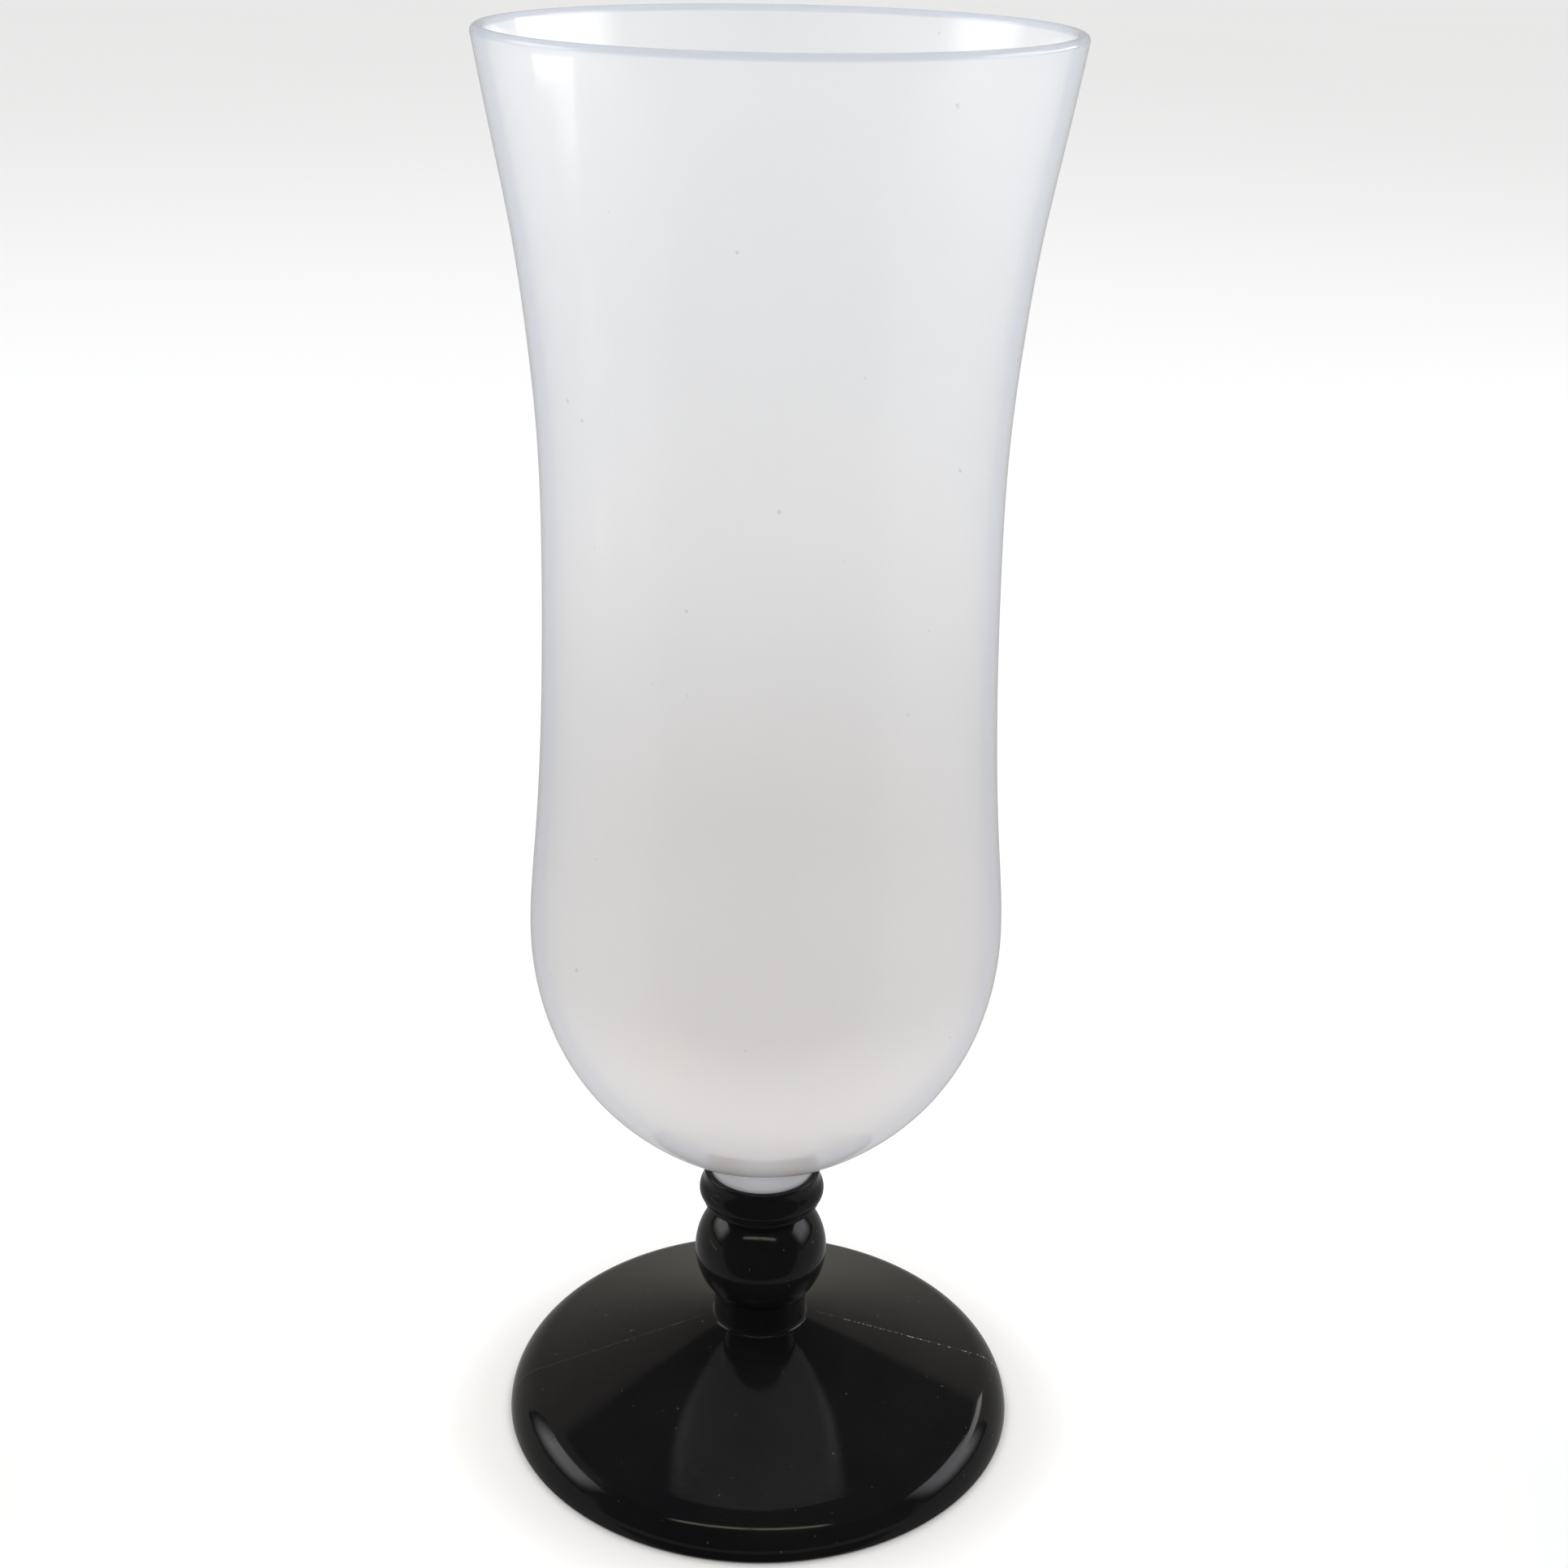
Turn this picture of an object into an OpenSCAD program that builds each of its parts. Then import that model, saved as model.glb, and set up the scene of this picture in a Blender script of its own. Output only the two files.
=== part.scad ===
// Two-piece hurricane glass: a frosted bowl whose spigot stands in the
// socket of a black stem and foot. The axis of the glass is Z and the
// foot stands on z = 0.

/* [Overall] */
// Height from the table to the lip
total_h = 210; // [200:1:230]
// Outer diameter of the lip
rim_d = 78; // [74:0.5:84]
// Outer diameter of the foot
foot_d = 79; // [76:0.5:90]

/* [Bowl] */
// Outer diameter at the waist, above the middle of the bowl
waist_d = 63.2; // [60:0.2:66]
// Outer diameter at the bulge, low on the bowl
bulge_d = 68.8; // [67:0.2:72]
// Wall thickness of the sides
wall = 1.7; // [1.4:0.1:2.2]
// Wall thickness around the bottom of the bowl
bottom_wall = 2.6; // [2.2:0.1:3]
// Height of the inside floor above the bottom of the bowl
floor_rise = 9.2; // [8.6:0.2:10.6]

/* [Spigot and socket] */
// Diameter of the spigot under the bowl
spigot_d = 10; // [9:0.2:10.4]
// Length of the spigot below its seat
spigot_len = 10; // [7:0.5:10.5]
// Diameter of the hollow up the middle of the spigot
spigot_core_d = 6.6; // [5:0.2:7]
// Diameter of the seat ring above the spigot
seat_d = 15.6; // [15:0.1:15.6]
// Radial clearance of the spigot in its socket
spigot_gap = 0.05; // [0.02:0.01:0.1]
// Radial clearance of the seat ring in the mouth of the socket
seat_gap = 0.1; // [0.05:0.01:0.12]

/* [Stem] */
// Height of the top edge of the collar
collar_z = 42.8; // [42.4:0.1:43.4]
// Depth of the mouth of the collar, down to the seat
mouth_depth = 2.5; // [2:0.1:2.8]
// Diameter of the collar at its top edge
collar_d = 17.7; // [17.6:0.1:18.2]
// Diameter of the bead round the collar
bead_d = 19.2; // [18.9:0.1:19.6]
// Diameter of the neck below the collar
neck_d = 14; // [13.6:0.2:15]
// Diameter of the ball knop
ball_d = 20.4; // [20:0.2:21]
// Height of the centre of the ball knop
ball_z = 28.4; // [28.2:0.1:28.6]
// Diameter of the short drum below the ball
drum_d = 14.3; // [13.8:0.1:15]

/* [Foot] */
// Height at which the cone of the foot would meet the drum
cone_z = 16.3; // [15:0.1:17]
// Radius of the rounded shoulder round the foot
shoulder_r = 7; // [6:0.5:9]
// Radius of the bottom outer corner of the foot
corner_r = 0.5; // [0.4:0.1:1.2]
// Wall thickness of the foot
foot_wall = 2.2; // [1.8:0.1:2.6]
// Diameter of the hollow up the middle of the stem, at its mouth
stem_core_d = 9; // [7:0.5:10]
// Height of the top of that hollow
stem_core_z = 25.5; // [22:0.5:26.5]

/* [Hidden] */
$fn = 96;
eps = 0.01;

rim_r = rim_d / 2;
waist_r = waist_d / 2;
bulge_r = bulge_d / 2;
foot_r = foot_d / 2;
seat_r = seat_d / 2;
ball_r = ball_d / 2;
drum_r = drum_d / 2;
neck_r = neck_d / 2;
spigot_r = spigot_d / 2;

seat_z = collar_z - mouth_depth;      // the seat ring rests here
tip_z = seat_z - spigot_len;          // lower end of the spigot
bowl_z = collar_z + 0.5;              // bottom of the bowl, at its root
bowl_h = total_h - bowl_z;
floor_z = bowl_z + floor_rise;

// Points of an arc about c, from angle a0 to a1 in n steps
function arc(c, r, a0, a1, n) =
    [for (i = [0:n]) let (a = a0 + (a1 - a0) * i / n) [c[0] + r * cos(a), c[1] + r * sin(a)]];

// Value between a and b
function mix(a, b, k) = a + (b - a) * k;

// Cubic B-spline that starts and ends on the first and last control point
function padded(c) = let (m = len(c) - 1)
    concat([2 * c[0] - c[1]], c, [2 * c[m] - c[m - 1]]);
function span(c, i, t) =
    (pow(1 - t, 3) * c[i] + (3 * pow(t, 3) - 6 * t * t + 4) * c[i + 1]
     + (-3 * pow(t, 3) + 3 * t * t + 3 * t + 1) * c[i + 2] + pow(t, 3) * c[i + 3]) / 6;
function bspline(c, n) = let (p = padded(c))
    concat([for (i = [0:len(p) - 4]) for (k = [0:n - 1]) span(p, i, k / n)], [c[len(c) - 1]]);

// Point of a quadratic curve, for the soft corner of the inside floor
function bend(a, b, c, t) = (1 - t) * (1 - t) * a + 2 * t * (1 - t) * b + t * t * c;

// Centre of the round lip, over the middle of the wall
lip_c = [rim_r - wall / 2, total_h - wall / 2];

// Control points of the outside of the bowl. Heights are parts of the
// bowl's height, and radii follow the bulge, the waist and the lip.
bowl_ctrl = [
    [seat_r + 0.2, bowl_z],
    [seat_r + 0.5, bowl_z + 0.014 * bowl_h],
    [0.358 * bulge_r, bowl_z + 0.028 * bowl_h],
    [0.578 * bulge_r, bowl_z + 0.058 * bowl_h],
    [0.794 * bulge_r, bowl_z + 0.102 * bowl_h],
    [0.945 * bulge_r, bowl_z + 0.161 * bowl_h],
    [1.008 * bulge_r, bowl_z + 0.226 * bowl_h],
    [0.997 * bulge_r, bowl_z + 0.283 * bowl_h],
    [mix(waist_r, bulge_r, 0.46), bowl_z + 0.361 * bowl_h],
    [mix(waist_r, bulge_r, 0.11), bowl_z + 0.469 * bowl_h],
    [mix(waist_r, bulge_r, -0.04), bowl_z + 0.598 * bowl_h],
    [mix(waist_r, rim_r, 0.01), bowl_z + 0.686 * bowl_h],
    [mix(waist_r, rim_r, 0.17), bowl_z + 0.767 * bowl_h],
    [mix(waist_r, rim_r, 0.38), bowl_z + 0.847 * bowl_h],
    [mix(waist_r, rim_r, 0.74), bowl_z + 0.928 * bowl_h],
    lip_c + wall / 2 * [cos(10), -sin(10)],
];
bowl_out = bspline(bowl_ctrl, 4);
n_out = len(bowl_out);

// Outward normal of the outside at point i, and the wall there
function out_n(i) = let (
    a = bowl_out[max(i - 1, 0)], b = bowl_out[min(i + 1, n_out - 1)],
    d = b - a) [d[1], -d[0]] / norm(d);
function wall_at(z) = let (k = max(0, 1 - (z - bowl_z) / (0.25 * bowl_h)))
    wall + (bottom_wall - wall) * k * k;
bowl_in = [for (i = [n_out - 1:-1:0]) bowl_out[i] - wall_at(bowl_out[i][1]) * out_n(i)];
bowl_in_used = [for (p = bowl_in) if (p[1] > floor_z + 1.4) p];
in_last = bowl_in_used[len(bowl_in_used) - 1];
in_corner = [in_last[0] - 1.9, floor_z];
in_flat = [in_corner[0] - 2.6, floor_z];

module bowl() {
    color([0.86, 0.87, 0.88, 0.75])
    rotate_extrude()
    difference() {
        polygon(concat(
            [[0, tip_z], [spigot_r - 0.6, tip_z], [spigot_r, tip_z + 1], [spigot_r, seat_z],
             [seat_r, seat_z], [seat_r, bowl_z - 0.5]],
            bowl_out,
            arc(lip_c, wall / 2, 0, 150, 10),
            bowl_in_used,
            [for (k = [1:5]) bend(in_last, in_corner, in_flat, k / 5)],
            [[0, floor_z]]));
        // hollow up the spigot, with a round top
        polygon(concat(
            [[-1, tip_z - 1], [spigot_core_d / 2, tip_z - 1]],
            arc([0, bowl_z + 1.5], spigot_core_d / 2, 0, 90, 8),
            [[-1, bowl_z + 1.5 + spigot_core_d / 2]]));
    }
}

// Foot: shoulder arc about sh_c, and the slope of the cone that leaves it
corner_a = asin(corner_r / (shoulder_r - corner_r));
sh_c = [foot_r - shoulder_r * cos(corner_a), 0];
corner_c = sh_c + (shoulder_r - corner_r) * [cos(corner_a), sin(corner_a)];
cone_v = [drum_r, cone_z] - sh_c;
sh_a = atan2(cone_v[1], cone_v[0]) - acos(shoulder_r / norm(cone_v));
slope = 90 - sh_a;

// Small hollow fillets between cone and drum, and between drum and ball
fil_r = 0.8;
fil_c = [drum_r + fil_r, cone_z - fil_r * tan(slope) + fil_r / cos(slope)];
bf_r = 0.35;
bf_c = [drum_r + bf_r, ball_z - sqrt(pow(ball_r + bf_r, 2) - pow(drum_r + bf_r, 2))];
bf_a = atan2(ball_z - bf_c[1], -bf_c[0]);

// Neck between the ball and the collar
neck_z = ball_z + sqrt(ball_r * ball_r - neck_r * neck_r);
lip_z = collar_z - 5.9;               // underside of the collar
collar_r = collar_d / 2;
bead_r = bead_d / 2;
function collar_side() = [
    [neck_r, lip_z - 0.3], [neck_r + 0.3, lip_z], [collar_r - 0.35, lip_z + 0.05],
    [collar_r + 0.02, lip_z + 0.3], [collar_r + 0.14, lip_z + 0.6],
    [collar_r + 0.1, lip_z + 0.85], [collar_r + 0.26, lip_z + 1.05],
    [bead_r - 0.18, lip_z + 1.45], [bead_r - 0.04, lip_z + 1.9], [bead_r, lip_z + 2.35],
    [bead_r - 0.06, lip_z + 2.9], [bead_r - 0.24, lip_z + 3.5],
    [collar_r + 0.14, lip_z + 4.2], [collar_r + 0.03, lip_z + 4.9], [collar_r, collar_z - 0.35],
    [collar_r - 0.1, collar_z - 0.1], [collar_r - 0.3, collar_z]];

module stem_foot() {
    color([0.05, 0.05, 0.055])
    difference() {
        rotate_extrude()
        polygon(concat(
            [[0, 0]],
            arc(corner_c, corner_r, -90, corner_a, 6),
            arc(sh_c, shoulder_r, corner_a, sh_a, 14),
            arc(fil_c, fil_r, 270 - slope, 180, 6),
            arc(bf_c, bf_r, 180, bf_a, 4),
            [for (p = arc([0, ball_z], ball_r, bf_a - 180, acos(neck_r / ball_r), 30)) p],
            collar_side(),
            [[0, collar_z]]));
        // mouth of the collar and the bore for the spigot
        translate([0, 0, seat_z])
            cylinder(r = seat_r + seat_gap, h = mouth_depth + 1);
        translate([0, 0, tip_z - 0.8])
            cylinder(r = spigot_r + spigot_gap, h = spigot_len + 2);
        // hollow underside of the foot
        rotate_extrude()
        polygon(concat(
            [[0, -1], [foot_r - foot_wall, -1], [foot_r - foot_wall, 0.2]],
            arc(sh_c, shoulder_r - foot_wall, 2, sh_a, 10),
            [[drum_r - 0.6, cone_z - foot_wall / cos(slope) + 0.6 * tan(slope)],
             [stem_core_d / 2, stem_core_z - 6.5], [stem_core_d / 2 - 0.3, stem_core_z - 0.8],
             [stem_core_d / 2 - 1.1, stem_core_z], [0, stem_core_z]]));
    }
}

bowl();
stem_foot();
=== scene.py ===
import math

import bpy
from mathutils import Matrix, Vector


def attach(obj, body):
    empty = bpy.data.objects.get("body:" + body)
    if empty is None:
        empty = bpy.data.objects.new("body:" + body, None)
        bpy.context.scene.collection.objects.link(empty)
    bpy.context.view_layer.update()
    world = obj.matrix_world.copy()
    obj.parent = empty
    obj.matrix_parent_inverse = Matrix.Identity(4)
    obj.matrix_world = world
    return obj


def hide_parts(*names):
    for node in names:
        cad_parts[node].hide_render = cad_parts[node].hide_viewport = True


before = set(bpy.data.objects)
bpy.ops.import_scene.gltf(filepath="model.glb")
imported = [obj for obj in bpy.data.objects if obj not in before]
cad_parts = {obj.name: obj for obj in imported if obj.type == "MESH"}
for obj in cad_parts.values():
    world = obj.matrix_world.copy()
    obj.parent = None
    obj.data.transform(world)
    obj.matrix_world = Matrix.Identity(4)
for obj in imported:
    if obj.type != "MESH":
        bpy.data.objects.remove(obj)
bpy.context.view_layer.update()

# ---------------------------------------------------------------- sizes, mm
TOTAL_H, RIM_D, FOOT_D, WAIST_D, BULGE_D = 210.0, 78.0, 79.0, 63.2, 68.8
WALL, BOTTOM_WALL, FLOOR_RISE = 1.7, 2.6, 9.2
SPIGOT_D, SPIGOT_LEN, CORE_D, SEAT_D = 10.0, 10.0, 6.6, 15.6
SPIGOT_GAP, SEAT_GAP = 0.05, 0.1
COLLAR_Z, MOUTH, COLLAR_D, BEAD_D, NECK_D = 42.8, 2.5, 17.7, 19.2, 14.0
BALL_D, BALL_Z, DRUM_D = 20.4, 28.4, 14.3
CONE_Z, SHOULDER_R, CORNER_R, FOOT_WALL = 16.3, 7.0, 0.5, 2.2
STEM_CORE_D, STEM_CORE_Z = 9.0, 25.5

SEAT_Z = COLLAR_Z - MOUTH
TIP_Z = SEAT_Z - SPIGOT_LEN
BOWL_Z = COLLAR_Z + 0.5
BOWL_H = TOTAL_H - BOWL_Z
FLOOR_Z = BOWL_Z + FLOOR_RISE


def mix(a, b, k):
    return a + (b - a) * k


def arc(c, r, a0, a1, n):
    return [(c[0] + r * math.cos(math.radians(a0 + (a1 - a0) * i / n)),
             c[1] + r * math.sin(math.radians(a0 + (a1 - a0) * i / n))) for i in range(n + 1)]


def bspline(c, n):
    m = len(c) - 1
    p = [(2 * c[0][0] - c[1][0], 2 * c[0][1] - c[1][1])] + c + [(2 * c[m][0] - c[m - 1][0], 2 * c[m][1] - c[m - 1][1])]
    out = []
    for i in range(len(p) - 3):
        for k in range(n):
            t = k / n
            w = ((1 - t) ** 3, 3 * t ** 3 - 6 * t * t + 4, -3 * t ** 3 + 3 * t * t + 3 * t + 1, t ** 3)
            out.append(tuple(sum(w[j] * p[i + j][d] for j in range(4)) / 6 for d in (0, 1)))
    out.append(c[m])
    return out


def bowl_profile():
    """Closed outline of the bowl as (r, z), from the axis in the spigot's hollow round to the axis on the inside floor."""
    br, wr, rr, sr = BULGE_D / 2, WAIST_D / 2, RIM_D / 2, SEAT_D / 2
    z0, h = BOWL_Z, BOWL_H
    lip = (rr - WALL / 2, TOTAL_H - WALL / 2)
    ctrl = [
        (sr + 0.2, z0), (sr + 0.5, z0 + 0.014 * h), (0.358 * br, z0 + 0.028 * h), (0.578 * br, z0 + 0.058 * h),
        (0.794 * br, z0 + 0.102 * h), (0.945 * br, z0 + 0.161 * h), (1.008 * br, z0 + 0.226 * h),
        (0.997 * br, z0 + 0.283 * h), (mix(wr, br, 0.46), z0 + 0.361 * h), (mix(wr, br, 0.11), z0 + 0.469 * h),
        (mix(wr, br, -0.04), z0 + 0.598 * h), (mix(wr, rr, 0.01), z0 + 0.686 * h), (mix(wr, rr, 0.17), z0 + 0.767 * h),
        (mix(wr, rr, 0.38), z0 + 0.847 * h), (mix(wr, rr, 0.74), z0 + 0.928 * h),
        (lip[0] + WALL / 2 * math.cos(math.radians(10)), lip[1] - WALL / 2 * math.sin(math.radians(10)))]
    out = bspline(ctrl, 10)
    inner = []
    for i in range(len(out) - 1, -1, -1):
        a, b = out[max(i - 1, 0)], out[min(i + 1, len(out) - 1)]
        d = math.hypot(b[0] - a[0], b[1] - a[1])
        n = ((b[1] - a[1]) / d, -(b[0] - a[0]) / d)
        k = max(0.0, 1 - (out[i][1] - z0) / (0.25 * h))
        w = WALL + (BOTTOM_WALL - WALL) * k * k
        p = (out[i][0] - w * n[0], out[i][1] - w * n[1])
        if p[1] > FLOOR_Z + 1.4:
            inner.append(p)
    last = inner[-1]
    corner, flat = (last[0] - 1.9, FLOOR_Z), (last[0] - 4.5, FLOOR_Z)
    bend = []
    for k in range(1, 13):
        t = k / 12
        bend.append(tuple((1 - t) ** 2 * last[d] + 2 * t * (1 - t) * corner[d] + t * t * flat[d] for d in (0, 1)))
    sp = SPIGOT_D / 2
    core_c = (0.0, BOWL_Z + 1.5)
    hollow = arc(core_c, CORE_D / 2, 90, 0, 12) + [(CORE_D / 2, z) for z in (40.0, 36.0, TIP_Z + 0.4)]
    hollow += [(CORE_D / 2 + 0.15, TIP_Z + 0.1), (CORE_D / 2 + 0.4, TIP_Z)]
    tip = [(sp - 0.9, TIP_Z), (sp - 0.6, TIP_Z + 0.08), (sp - 0.08, TIP_Z + 0.9), (sp, TIP_Z + 1.2),
           (sp, 34.0), (sp, 37.5), (sp, SEAT_Z - 0.02)]
    seat = [(sp + 0.03, SEAT_Z), (6.4, SEAT_Z), (sr - 0.12, SEAT_Z), (sr, SEAT_Z + 0.12), (sr, SEAT_Z + 1.1),
            (sr, BOWL_Z - 0.75), (sr + 0.03, BOWL_Z - 0.5), (sr + 0.12, BOWL_Z - 0.25)]
    floor = [(r, FLOOR_Z) for r in (9.0, 5.5, 2.5)]
    pts = hollow + tip + seat + out + arc(lip, WALL / 2, -2, 168, 18) + inner + bend + floor + [(0.0, FLOOR_Z)]
    pts[0] = (0.0, pts[0][1])
    return pts


def foot_profile():
    """Closed outline of the stem and foot as (r, z), from the axis in the hollow underside round to the axis in the socket."""
    fr, dr, ballr, nr = FOOT_D / 2, DRUM_D / 2, BALL_D / 2, NECK_D / 2
    ca = math.asin(CORNER_R / (SHOULDER_R - CORNER_R))
    sh = (fr - SHOULDER_R * math.cos(ca), 0.0)
    cc = (sh[0] + (SHOULDER_R - CORNER_R) * math.cos(ca), (SHOULDER_R - CORNER_R) * math.sin(ca))
    v = (dr - sh[0], CONE_Z)
    sa = math.degrees(math.atan2(v[1], v[0])) - math.degrees(math.acos(SHOULDER_R / math.hypot(*v)))
    slope = math.radians(90 - sa)
    fil = 0.8
    fc = (dr + fil, CONE_Z - fil * math.tan(slope) + fil / math.cos(slope))
    bf = 0.35
    bc = (dr + bf, BALL_Z - math.sqrt((ballr + bf) ** 2 - (dr + bf) ** 2))
    ba = math.degrees(math.atan2(BALL_Z - bc[1], -bc[0]))
    lz, cr, br = COLLAR_Z - 5.9, COLLAR_D / 2, BEAD_D / 2
    in_cone_z = CONE_Z - FOOT_WALL / math.cos(slope) + 0.6 * math.tan(slope)
    under = [(0.0, STEM_CORE_Z), (1.5, STEM_CORE_Z), (STEM_CORE_D / 2 - 1.1, STEM_CORE_Z - 0.02),
             (STEM_CORE_D / 2 - 0.6, STEM_CORE_Z - 0.3), (STEM_CORE_D / 2 - 0.3, STEM_CORE_Z - 0.8),
             (STEM_CORE_D / 2, STEM_CORE_Z - 6.5), (dr - 0.75, in_cone_z + 0.45), (dr - 0.2, in_cone_z - 0.2)]
    inner_arc = arc(sh, SHOULDER_R - FOOT_WALL, sa, 2, 14)
    r0, z0 = under[-1]
    r1, z1 = inner_arc[0]
    under += [(mix(r0, r1, k / 6), mix(z0, z1, k / 6)) for k in range(1, 6)]
    under += inner_arc + [(fr - FOOT_WALL, 0.15), (fr - FOOT_WALL + 0.12, 0.0)]
    bottom = arc(cc, CORNER_R, -90, math.degrees(ca), 6)
    shoulder = arc(sh, SHOULDER_R, math.degrees(ca), sa, 40)[1:]
    fillet = arc(fc, fil, 270 - math.degrees(slope), 180, 8)
    r0, z0 = shoulder[-1]
    r1, z1 = fillet[0]
    cone = [(mix(r0, r1, k / 24), mix(z0, z1, k / 24)) for k in range(1, 24)]
    drum_z0, drum_z1 = fillet[-1][1], bc[1]
    drum = [(dr, mix(drum_z0, drum_z1, k / 3)) for k in range(1, 3)]
    side = [(nr, lz - 0.3), (nr + 0.1, lz - 0.1), (nr + 0.3, lz), (cr - 0.9, lz + 0.02), (cr - 0.35, lz + 0.05),
            (cr - 0.1, lz + 0.15), (cr + 0.02, lz + 0.3), (cr + 0.1, lz + 0.45), (cr + 0.14, lz + 0.6),
            (cr + 0.1, lz + 0.85), (cr + 0.26, lz + 1.05)]
    bead = bspline([(cr + 0.26, lz + 1.05), (br - 0.2, lz + 1.4), (br - 0.01, lz + 1.95), (br, lz + 2.4),
                    (br - 0.05, lz + 2.9), (br - 0.28, lz + 3.5), (cr + 0.12, lz + 4.2), (cr + 0.03, lz + 4.9),
                    (cr, COLLAR_Z - 0.3)], 4)[1:]
    top = [(cr - 0.04, COLLAR_Z - 0.17), (cr - 0.13, COLLAR_Z - 0.05), (cr - 0.3, COLLAR_Z)]
    mr, sr = SEAT_D / 2 + SEAT_GAP, SPIGOT_D / 2 + SPIGOT_GAP
    socket = [(mr + 0.12, COLLAR_Z), (mr + 0.03, COLLAR_Z - 0.04), (mr, COLLAR_Z - 0.15), (mr, SEAT_Z + 0.05),
              (mr - 0.05, SEAT_Z), (6.5, SEAT_Z), (sr + 0.03, SEAT_Z), (sr, SEAT_Z - 0.04), (sr, 35.0),
              (sr, TIP_Z - 0.75), (sr - 0.05, TIP_Z - 0.8), (0.0, TIP_Z - 0.8)]
    return (under + bottom + shoulder + cone + fillet + drum + arc(bc, bf, 180, ba, 5)
            + arc((0.0, BALL_Z), ballr, ba - 180, math.degrees(math.acos(nr / ballr)), 56)[1:] + side + bead + top + socket)


def tidy(pts):
    out = [pts[0]]
    for p in pts[1:]:
        if math.hypot(p[0] - out[-1][0], p[1] - out[-1][1]) > 0.012:
            out.append(p)
    if out[-1][0] > 0 and pts[-1][0] == 0.0:
        out[-1] = pts[-1]
    return out


def turned(name, pts, angles, lift=None):
    """A closed solid of revolution. lift(r, z, nr, nz, angle) gives a point's extra height along its normal, in mm."""
    pts = tidy(pts)
    n, m = len(pts), len(angles)
    norms = []
    for i in range(n):
        a, b = pts[max(i - 1, 0)], pts[min(i + 1, n - 1)]
        d = math.hypot(b[0] - a[0], b[1] - a[1]) or 1.0
        norms.append(((b[1] - a[1]) / d, -(b[0] - a[0]) / d))
    verts, rows = [], []
    for i, (r, z) in enumerate(pts):
        if r < 1e-6:
            rows.append([len(verts)])
            verts.append((0.0, 0.0, z / 1000))
            continue
        row = []
        for a in angles:
            e = lift(r, z, norms[i][0], norms[i][1], a) if lift else 0.0
            rr, zz = r + e * norms[i][0], z + e * norms[i][1]
            row.append(len(verts))
            verts.append((rr * math.cos(a) / 1000, rr * math.sin(a) / 1000, zz / 1000))
        rows.append(row)
    faces = []
    for i in range(n - 1):
        p, q = rows[i], rows[i + 1]
        for k in range(m):
            j = (k + 1) % m
            if len(p) == 1 and len(q) > 1:
                faces.append((p[0], q[j], q[k]))
            elif len(q) == 1 and len(p) > 1:
                faces.append((p[k], p[j], q[0]))
            elif len(p) > 1:
                faces.append((p[k], p[j], q[j], q[k]))
    me = bpy.data.meshes.new(name)
    me.from_pydata(verts, [], faces)
    me.validate()
    me.shade_smooth()
    me.set_sharp_from_angle(angle=math.radians(40))
    ob = bpy.data.objects.new(name, me)
    bpy.context.scene.collection.objects.link(ob)
    return ob


# ---------------------------------------------------------------- pieces
def wave(a, b, c, s):
    """A repeatable number from 0 to 1 that varies along s."""
    return 0.5 + 0.25 * math.sin(a * s + 0.7) + 0.15 * math.sin(b * s + 2.1) + 0.1 * math.sin(c * s + 4.0)


SEAM_L, SEAM_R = math.radians(185.0), math.radians(4.0)


def seam_lift(r, z, nr, nz, a):
    """Mould flash: a fine broken ridge down two sides of the stem and over the top of the foot."""
    if (nz < -0.6 and z < 20) or z < 1.2 or r < 7.0 or z > COLLAR_Z - 0.2:
        return 0.0
    e = 0.0
    for seam, k, h in ((SEAM_L, 1.3, 0.045), (SEAM_R, 1.0, 0.06)):
        d = (a - seam + math.pi) % (2 * math.pi) - math.pi
        w = math.radians(0.34)
        if abs(d) < w:
            s = math.hypot(r, z * 1.3)
            f = max(0.15, wave(3.1 * k, 7.3, 17.0 * k, s) * 1.5 - 0.35)
            e += h * f * (1 - abs(d) / w) * min(1.0, max(0.25, (r - 5) / 14))
    # nothing stands proud of the widest ring
    if r > FOOT_D / 2 - 0.4:
        e = 0.0
    return e


ring = [2 * math.pi * k / 224 for k in range(224)]
for seam in (SEAM_L, SEAM_R):
    ring = [a for a in ring if abs((a - seam + math.pi) % (2 * math.pi) - math.pi) > math.radians(0.75)]
    ring += [(seam + math.radians(d)) % (2 * math.pi) for d in (-0.75, -0.34, -0.17, 0, 0.17, 0.34, 0.75)]
ring.sort()

bowl = turned("hurricane_bowl", bowl_profile(), [2 * math.pi * k / 224 for k in range(224)])
foot = turned("hurricane_stem_foot", foot_profile(), ring, seam_lift)


# ---------------------------------------------------------------- materials
def mat(name):
    m = bpy.data.materials.new(name)
    m.use_nodes = True
    m.node_tree.nodes.clear()
    return m, m.node_tree


def add(nt, kind, **values):
    n = nt.nodes.new(kind)
    for k, v in values.items():
        if k in ("ins",):
            for s, x in v.items():
                n.inputs[s].default_value = x
        else:
            setattr(n, k, v)
    return n


def math_node(nt, op, a, b=None, clamp=False):
    n = nt.nodes.new("ShaderNodeMath")
    n.operation = op
    n.use_clamp = clamp
    for i, x in enumerate((a, b)):
        if x is None:
            continue
        if isinstance(x, (int, float)):
            n.inputs[i].default_value = x
        else:
            nt.links.new(x, n.inputs[i])
    return n.outputs[0]


def remap(nt, v, lo, hi, a=0.0, b=1.0, smooth=False):
    n = nt.nodes.new("ShaderNodeMapRange")
    n.interpolation_type = "SMOOTHSTEP" if smooth else "LINEAR"
    nt.links.new(v, n.inputs["Value"])
    for s, x in (("From Min", lo), ("From Max", hi), ("To Min", a), ("To Max", b)):
        n.inputs[s].default_value = x
    return n.outputs["Result"]


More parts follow.
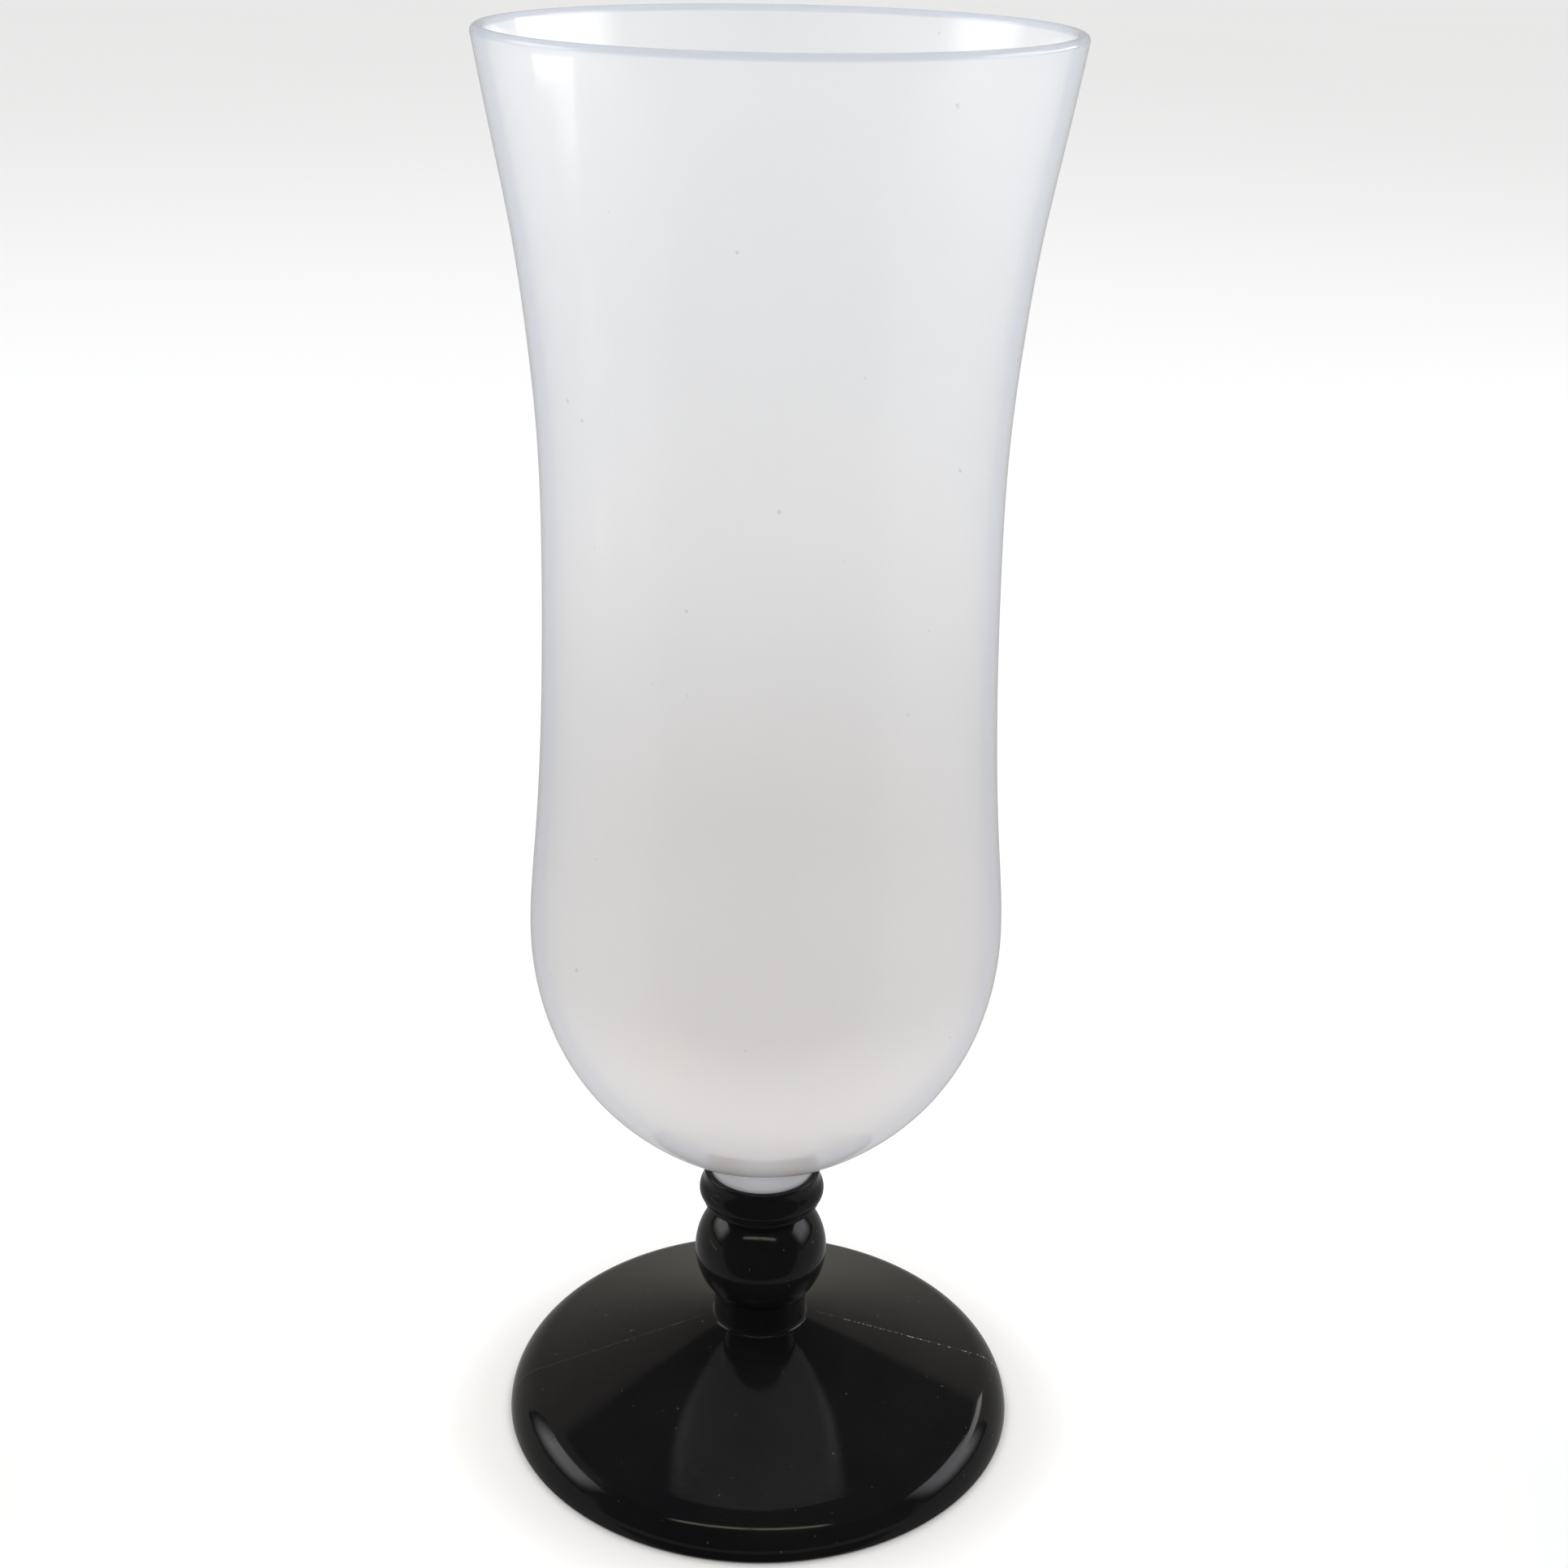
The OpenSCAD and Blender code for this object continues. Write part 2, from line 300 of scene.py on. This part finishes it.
def noise(nt, vec, scale, detail=2.0, rough=0.5):
    n = nt.nodes.new("ShaderNodeTexNoise")
    n.inputs["Scale"].default_value = scale
    n.inputs["Detail"].default_value = detail
    n.inputs["Roughness"].default_value = rough
    nt.links.new(vec, n.inputs["Vector"])
    return n.outputs["Fac"]


def stretch(nt, vec, x, y, z):
    n = nt.nodes.new("ShaderNodeMapping")
    n.inputs["Scale"].default_value = (x, y, z)
    nt.links.new(vec, n.inputs["Vector"])
    return n.outputs["Vector"]


def blend_colour(nt, fac, a, b):
    n = nt.nodes.new("ShaderNodeMix")
    n.data_type = "RGBA"
    for s, x in ((0, fac), (6, a), (7, b)):
        if isinstance(x, (int, float)):
            n.inputs[s].default_value = x
        elif isinstance(x, tuple):
            n.inputs[s].default_value = (*x, 1.0)
        else:
            nt.links.new(x, n.inputs[s])
    return n.outputs[2]


def bump(nt, height, distance, strength=1.0, normal=None):
    n = nt.nodes.new("ShaderNodeBump")
    n.inputs["Distance"].default_value = distance
    n.inputs["Strength"].default_value = strength
    nt.links.new(height, n.inputs["Height"])
    if normal is not None:
        nt.links.new(normal, n.inputs["Normal"])
    return n.outputs["Normal"]


def frosted():
    """Milky polypropylene: a hazy body that passes most light, under a smooth skin."""
    m, nt = mat("frosted_polypropylene")
    link = nt.links.new
    co = add(nt, "ShaderNodeTexCoord").outputs["Object"]
    sep = add(nt, "ShaderNodeSeparateXYZ")
    link(co, sep.inputs[0])
    z = sep.outputs[2]
    cloud = noise(nt, co, 38.0, 3.0, 0.55)
    flow = noise(nt, stretch(nt, co, 160, 160, 14), 1.0, 2.0, 0.5)
    up = remap(nt, z, 0.055, 0.200, smooth=True)
    body = blend_colour(nt, up, (0.995, 0.962, 0.926), (0.996, 0.988, 0.972))
    body = blend_colour(nt, remap(nt, cloud, 0.35, 0.7, 0.0, 0.25), body, (0.95, 0.935, 0.915))
    # painted shade: a little deeper in tone round the bulge
    painted_bulge_shade = math_node(nt, "MULTIPLY", remap(nt, z, 0.070, 0.086, smooth=True), remap(nt, z, 0.112, 0.152, 0.25, 0.07, smooth=True))
    body = blend_colour(nt, painted_bulge_shade, body, (0.55, 0.53, 0.51))
    speck = noise(nt, co, 520.0, 1.0, 0.4)
    body = blend_colour(nt, remap(nt, speck, 0.79, 0.83, 0.0, 0.55), body, (0.60, 0.56, 0.52))
    # painted shade and a cool painted reflection: the round lip is drawn deeper and bluer in tone
    body = blend_colour(nt, remap(nt, z, 0.20895, 0.20935, 0.0, 1.0, smooth=True), body, (0.74, 0.77, 0.82))
    normal = bump(nt, flow, 0.00012, 0.10, bump(nt, noise(nt, co, 900.0, 2.0, 0.5), 0.00002, 0.25))
    diffuse = add(nt, "ShaderNodeBsdfDiffuse")
    trans = add(nt, "ShaderNodeBsdfTranslucent")
    clear = add(nt, "ShaderNodeBsdfTransparent")
    gloss = add(nt, "ShaderNodeBsdfAnisotropic")
    for n in (diffuse, trans):
        link(body, n.inputs["Color"])
        link(normal, n.inputs["Normal"])
    clear.inputs["Color"].default_value = (0.985, 0.985, 0.985, 1)
    gloss.inputs["Color"].default_value = (1, 1, 1, 1)
    gloss.inputs["Roughness"].default_value = 0.10
    link(normal, gloss.inputs["Normal"])
    haze = add(nt, "ShaderNodeMixShader")
    link(remap(nt, z, 0.050, 0.086, 0.66, 0.62, smooth=True), haze.inputs[0])
    link(diffuse.outputs[0], haze.inputs[1])
    link(trans.outputs[0], haze.inputs[2])
    see = add(nt, "ShaderNodeMixShader")
    link(remap(nt, z, 0.050, 0.078, 0.25, 0.36, smooth=True), see.inputs[0])
    link(haze.outputs[0], see.inputs[1])
    link(clear.outputs[0], see.inputs[2])
    lw = add(nt, "ShaderNodeLayerWeight", ins={"Blend": 0.5})
    fres = math_node(nt, "ADD", math_node(nt, "MULTIPLY", math_node(nt, "POWER", lw.outputs["Facing"], 5.0), 0.9), 0.035)
    skin = add(nt, "ShaderNodeMixShader")
    link(fres, skin.inputs[0])
    link(see.outputs[0], skin.inputs[1])
    link(gloss.outputs[0], skin.inputs[2])
    out = add(nt, "ShaderNodeOutputMaterial")
    link(skin.outputs[0], out.inputs["Surface"])
    absorb = add(nt, "ShaderNodeVolumeAbsorption")
    absorb.inputs["Color"].default_value = (0.55, 0.66, 0.86, 1)
    absorb.inputs["Density"].default_value = 60.0
    link(absorb.outputs[0], out.inputs["Volume"])
    return m


def black():
    """Glossy black moulding with a faint ripple, fine dust, a few scratches and broken flash along the seams, with pale
    painted glints on the flash.
    """
    m, nt = mat("black_plastic")
    link = nt.links.new
    co = add(nt, "ShaderNodeTexCoord").outputs["Object"]
    sep = add(nt, "ShaderNodeSeparateXYZ")
    link(co, sep.inputs[0])
    x, y, z = sep.outputs
    cloud = noise(nt, co, 60.0, 3.0, 0.55)
    base = blend_colour(nt, remap(nt, cloud, 0.3, 0.7), (0.0048, 0.0044, 0.0052), (0.0078, 0.0072, 0.0070))
    ang = math_node(nt, "ARCTAN2", y, x)
    rad = math_node(nt, "SQRT", math_node(nt, "ADD", math_node(nt, "MULTIPLY", x, x), math_node(nt, "MULTIPLY", y, y)))
    arc_r = math_node(nt, "MULTIPLY", math_node(nt, "ABSOLUTE", math_node(nt, "SUBTRACT", ang, SEAM_R)), rad)
    arc_l = math_node(nt, "MULTIPLY", math_node(nt, "ABSOLUTE", math_node(nt, "ADD", ang, 2 * math.pi - SEAM_L)), rad)
    outside = remap(nt, z, 0.0022, 0.0030)
    fleck = noise(nt, stretch(nt, co, 1900, 700, 1900), 1.0, 3.0, 0.75)
    outward = remap(nt, rad, 0.010, 0.026, 0.35, 1.0)
    # painted glints: pale flecks along the two seams, where the real flash ridge catches the light
    seam_glint_r = math_node(nt, "MULTIPLY", remap(nt, arc_r, 0.00005, 0.00014, 1.0, 0.0), math_node(nt, "MULTIPLY", remap(nt, fleck, 0.50, 0.64, 0.04, 1.6), outward))
    seam_glint_l = math_node(nt, "MULTIPLY", remap(nt, arc_l, 0.00005, 0.00013, 1.0, 0.0), remap(nt, fleck, 0.52, 0.72, 0.03, 0.22))
    on_foot = math_node(nt, "MULTIPLY", remap(nt, rad, 0.0085, 0.0100), outside)
    seam = math_node(nt, "MULTIPLY", math_node(nt, "MAXIMUM", seam_glint_r, seam_glint_l), on_foot, True)
    dust_n = noise(nt, co, 1500.0, 0.0, 0.5)
    dust = remap(nt, dust_n, 0.850, 0.875, 0.0, 0.10)
    # real dust together with the painted seam glints
    dust_and_seam_glint = math_node(nt, "MAXIMUM", math_node(nt, "MULTIPLY", seam, 0.75), dust)
    colour = blend_colour(nt, dust_and_seam_glint, base, (0.42, 0.42, 0.40))
    p = add(nt, "ShaderNodeBsdfPrincipled")
    link(colour, p.inputs["Base Color"])
    rough = remap(nt, noise(nt, co, 210.0, 4.0, 0.6), 0.3, 0.7, 0.055, 0.11)
    rough = math_node(nt, "ADD", rough, math_node(nt, "MULTIPLY", dust_and_seam_glint, 0.45))
    link(rough, p.inputs["Roughness"])
    p.inputs["IOR"].default_value = 1.26
    scratch = noise(nt, stretch(nt, co, 260, 2600, 1900), 1.0, 1.0, 0.4)
    n1 = bump(nt, noise(nt, co, 150.0, 1.0, 0.5), 0.00006, 0.22)
    n2 = bump(nt, remap(nt, scratch, 0.74, 0.80), 0.00002, 0.25, n1)
    link(n2, p.inputs["Normal"])
    out = add(nt, "ShaderNodeOutputMaterial")
    link(p.outputs[0], out.inputs["Surface"])
    return m


bowl.data.materials.append(frosted())
foot.data.materials.append(black())
for ob, body, node, slot in ((bowl, "cup", "bowl", "frosted_plastic"), (foot, "base", "stem_foot", "black_plastic")):
    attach(ob, body)
    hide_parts(node)

# ---------------------------------------------------------------- camera
cam_data = bpy.data.cameras.new("camera")
cam = bpy.data.objects.new("camera", cam_data)
bpy.context.scene.collection.objects.link(cam)
cam_data.sensor_width = 36.0
cam_data.lens = 2850.0 / 1932.0 * 36.0
cam_data.clip_start, cam_data.clip_end = 0.01, 50.0
pitch, yaw, roll = math.radians(22.48), math.radians(0.424), math.radians(1.085)
forward = Vector((math.sin(yaw) * math.cos(pitch), math.cos(yaw) * math.cos(pitch), -math.sin(pitch)))
right = forward.cross(Vector((0, 0, 1))).normalized()
up = right.cross(forward)
right2 = math.cos(roll) * right + math.sin(roll) * up
up2 = -math.sin(roll) * right + math.cos(roll) * up
rot = Matrix((right2, up2, -forward)).transposed().to_4x4()
cam.matrix_world = Matrix.Translation((0.0, -0.3065, 0.2332)) @ rot
bpy.context.scene.camera = cam

# ---------------------------------------------------------------- floor, lights
me = bpy.data.meshes.new("floor")
me.from_pydata([(-8, -8, 0), (8, -8, 0), (8, 8, 0), (-8, 8, 0)], [], [(0, 1, 2, 3)])
floor = bpy.data.objects.new("floor", me)
bpy.context.scene.collection.objects.link(floor)
fm, nt = mat("pale_floor")
d = add(nt, "ShaderNodeBsdfDiffuse")
co = add(nt, "ShaderNodeTexCoord").outputs["Object"]
tone = blend_colour(nt, noise(nt, co, 3.0, 2.0), (0.90, 0.90, 0.90), (0.92, 0.92, 0.92))
nt.links.new(tone, d.inputs["Color"])
out = add(nt, "ShaderNodeOutputMaterial")
nt.links.new(d.outputs[0], out.inputs["Surface"])
floor.data.materials.append(fm)
floor.visible_glossy = False


def glow_card(name, corners, colour, strength, fade=None):
    """A plain card that only shows in reflections. fade(nt, x, y) gives its falloff from its own 0 to 1 coordinates."""
    me = bpy.data.meshes.new(name)
    me.from_pydata(corners, [], [tuple(range(len(corners)))])
    ob = bpy.data.objects.new(name, me)
    bpy.context.scene.collection.objects.link(ob)
    m, nt = mat(name)
    e = add(nt, "ShaderNodeEmission", ins={"Color": (*colour, 1), "Strength": strength})
    if fade:
        g = add(nt, "ShaderNodeSeparateXYZ")
        nt.links.new(add(nt, "ShaderNodeTexCoord").outputs["Generated"], g.inputs[0])
        nt.links.new(math_node(nt, "MULTIPLY", fade(nt, g.outputs[0], g.outputs[1]), strength), e.inputs["Strength"])
    o = add(nt, "ShaderNodeOutputMaterial")
    nt.links.new(e.outputs[0], o.inputs["Surface"])
    me.materials.append(m)
    ob.visible_camera = ob.visible_diffuse = ob.visible_shadow = ob.visible_transmission = False
    return ob


# the white sheet under the glass, as its gloss sees it: it ends close in front
sheet_out, sheet_in = [], []
for k in range(48):
    a = 2 * math.pi * k / 48
    reach = 0.100 if math.sin(a) > 0 else 0.071
    sheet_out.append((0.004 + 0.086 * math.cos(a), 0.014 + reach * math.sin(a), 0.0002))
    sheet_in.append((0.0455 * math.cos(a), 0.0455 * math.sin(a), 0.0002))
me = bpy.data.meshes.new("sheet_card")
me.from_pydata(sheet_out + sheet_in, [], [(k, (k + 1) % 48, 48 + (k + 1) % 48, 48 + k) for k in range(48)])
sheet = bpy.data.objects.new("sheet_card", me)
bpy.context.scene.collection.objects.link(sheet)
m, nt = mat("sheet_card")
e = add(nt, "ShaderNodeEmission", ins={"Color": (0.97, 0.98, 1.0, 1), "Strength": 0.42})
o = add(nt, "ShaderNodeOutputMaterial")
nt.links.new(e.outputs[0], o.inputs["Surface"])
me.materials.append(m)
sheet.visible_camera = sheet.visible_diffuse = sheet.visible_shadow = sheet.visible_transmission = False


# light that the sheet throws up under the bowl
me = bpy.data.meshes.new("sheet_glow")
glow_in = [(0.0397 * math.cos(2 * math.pi * k / 96), 0.0397 * math.sin(2 * math.pi * k / 96), 0.0006) for k in range(96)]
glow_out = [(0.118 * math.cos(2 * math.pi * k / 96), 0.118 * math.sin(2 * math.pi * k / 96), 0.0006) for k in range(96)]
me.from_pydata(glow_out + glow_in, [], [(k, (k + 1) % 96, 96 + (k + 1) % 96, 96 + k) for k in range(96)])
glow = bpy.data.objects.new("sheet_glow", me)
bpy.context.scene.collection.objects.link(glow)
m, nt = mat("sheet_glow")
sep = add(nt, "ShaderNodeSeparateXYZ")
nt.links.new(add(nt, "ShaderNodeTexCoord").outputs["Object"], sep.inputs[0])
out_r = math_node(nt, "SQRT", math_node(nt, "ADD", math_node(nt, "MULTIPLY", sep.outputs[0], sep.outputs[0]), math_node(nt, "MULTIPLY", sep.outputs[1], sep.outputs[1])))
e = add(nt, "ShaderNodeEmission", ins={"Color": (1.0, 0.98, 0.95, 1)})
ramp = math_node(nt, "MULTIPLY", remap(nt, out_r, 0.040, 0.074, 0.80, 1.48, smooth=True), remap(nt, out_r, 0.078, 0.118, 1.0, 0.62, smooth=True))
nt.links.new(ramp, e.inputs["Strength"])
o = add(nt, "ShaderNodeOutputMaterial")
nt.links.new(e.outputs[0], o.inputs["Surface"])
me.materials.append(m)
glow.visible_camera = glow.visible_glossy = glow.visible_shadow = False


# two pale patches on the table to the left, which the bowl mirrors under its lip
def side_fade(nt, x, y):
    """Brightest along one side."""
    return math_node(nt, "MULTIPLY", remap(nt, y, 0.95, 0.15, 0.05, 1.0, smooth=True), remap(nt, x, 1.0, 0.55, 0.35, 1.0, smooth=True))


glow_card("patch_card", [(-0.745, 0.150, 0.001), (-0.640, -0.110, 0.001), (-0.600, -0.105, 0.001), (-0.640, 0.010, 0.001), (-0.690, 0.150, 0.001)],
          (1.0, 1.0, 0.98), 8.0)
glow_card("streak_card", [(-0.640, 0.010, 0.0008), (-0.596, -0.100, 0.0008), (-0.505, -0.042, 0.0008), (-0.480, 0.0, 0.0008), (-0.515, 0.110, 0.0008), (-0.550, 0.080, 0.0008)],
          (1.0, 0.98, 0.93), 3.0, side_fade)


# a pale patch low on the right, which the inside of the lip mirrors
glow_card("lip_card", [(0.564, 0.093, 0.249), (0.5525, 0.0915, 0.332), (0.409, 0.415, 0.311), (0.415, 0.421, 0.238)], (1.0, 1.0, 1.0), 4.5)


def aim(ob, az, el, dist, target=(0, 0, 0.09)):
    """az is from -Y towards +X, in degrees."""
    a, e = math.radians(az), math.radians(el)
    v = Vector((math.sin(a) * math.cos(e), -math.cos(a) * math.cos(e), math.sin(e)))
    ob.location = Vector(target) + v * dist
    ob.rotation_mode = "QUATERNION"
    ob.rotation_quaternion = v.to_track_quat("Z", "Y")


def area(name, az, el, dist, w, h, power, colour):
    l = bpy.data.lights.new(name, "AREA")
    l.shape = "RECTANGLE"
    l.size, l.size_y = w, h
    l.energy = power
    l.color = colour
    ob = bpy.data.objects.new(name, l)
    bpy.context.scene.collection.objects.link(ob)
    aim(ob, az, el, dist)
    ob.visible_camera = ob.visible_glossy = False
    return ob


def soft_card(name, az, el, dist, w, h, colour, strength, fade):
    """A glowing panel with its own falloff, aimed at the foot."""
    ob = glow_card(name, [(-w / 2, -h / 2, 0), (w / 2, -h / 2, 0), (w / 2, h / 2, 0), (-w / 2, h / 2, 0)], colour, strength, fade)
    aim(ob, az, el, dist, (0, 0, 0.01))
    return ob


def box_fade(nt, x, y):
    """Bright over the middle and top, fading to the sides and the bottom."""
    across = math_node(nt, "MULTIPLY", remap(nt, x, 0.0, 0.36, smooth=True), remap(nt, x, 0.64, 1.0, 1.0, 0.0, smooth=True))
    return math_node(nt, "MULTIPLY", across, remap(nt, y, 0.0, 0.62, smooth=True))


def strip_fade(nt, x, y):
    """Two short tubes end to end."""
    ends = math_node(nt, "MULTIPLY", remap(nt, x, 0.0, 0.12, smooth=True), remap(nt, x, 0.88, 1.0, 1.0, 0.0, smooth=True))
    gap = remap(nt, math_node(nt, "ABSOLUTE", math_node(nt, "SUBTRACT", x, 0.5)), 0.0, 0.05, 0.6, 1.0)
    return math_node(nt, "MULTIPLY", ends, gap)


area("softbox_left", -100, 25, 0.95, 0.40, 0.36, 1.7, (0.92, 0.95, 1.0))
area("softbox_right", 103, 22, 0.95, 0.44, 0.44, 2.0, (0.92, 0.95, 1.0))
area("overhead", 180, 62, 1.3, 1.2, 1.0, 2.5, (1.0, 1.0, 1.0))
soft_card("panel_left", -98, 22, 0.95, 0.86, 0.48, (0.96, 0.98, 1.0), 4.8, box_fade)
soft_card("panel_right", 96, 20, 0.95, 0.86, 0.54, (0.95, 0.94, 1.0), 4.8, box_fade)
soft_card("tube_front", -3, 45, 1.1, 1.30, 0.075, (1.0, 0.97, 0.74), 5.8, strip_fade)

world = bpy.data.worlds.new("world")
bpy.context.scene.world = world
world.use_nodes = True
nt = world.node_tree
nt.nodes.clear()
tc = add(nt, "ShaderNodeTexCoord")
sep = add(nt, "ShaderNodeSeparateXYZ")
nt.links.new(tc.outputs["Generated"], sep.inputs[0])
wx, wy, wz = sep.outputs
# what the gloss sees: a dark round opening in front, pale walls behind it, a bluish table and a dim ceiling
facing = math_node(nt, "SUBTRACT", math_node(nt, "MULTIPLY", wz, math.sin(math.radians(24))), math_node(nt, "MULTIPLY", wy, math.cos(math.radians(24))))
wall = remap(nt, facing, 0.28, 0.42, 1.0, 0.0, smooth=True)
low = remap(nt, wz, -0.10, 0.02, 1.0, 0.0, smooth=True)
lift = math_node(nt, "ADD", wz, math_node(nt, "MULTIPLY", wx, 0.17))
high = remap(nt, lift, 0.60, 0.65, smooth=True)
gl = blend_colour(nt, low, (0.45, 0.43, 0.385), (0.40, 0.395, 0.38))
gl = blend_colour(nt, wall, (0.020, 0.018, 0.024), gl)
gl = blend_colour(nt, high, gl, (0.10, 0.095, 0.105))
lp = add(nt, "ShaderNodeLightPath")
colour = blend_colour(nt, lp.outputs["Is Glossy Ray"], (0.89, 0.89, 0.885), gl)
bg = add(nt, "ShaderNodeBackground", ins={"Strength": 1.0})
nt.links.new(colour, bg.inputs["Color"])
wo = add(nt, "ShaderNodeOutputWorld")
nt.links.new(bg.outputs[0], wo.inputs["Surface"])

scene = bpy.context.scene
scene.view_settings.view_transform = "Standard"
scene.view_settings.look = "None"
scene.cycles.diffuse_bounces = 10
scene.cycles.transparent_max_bounces = 24
scene.cycles.max_bounces = 16
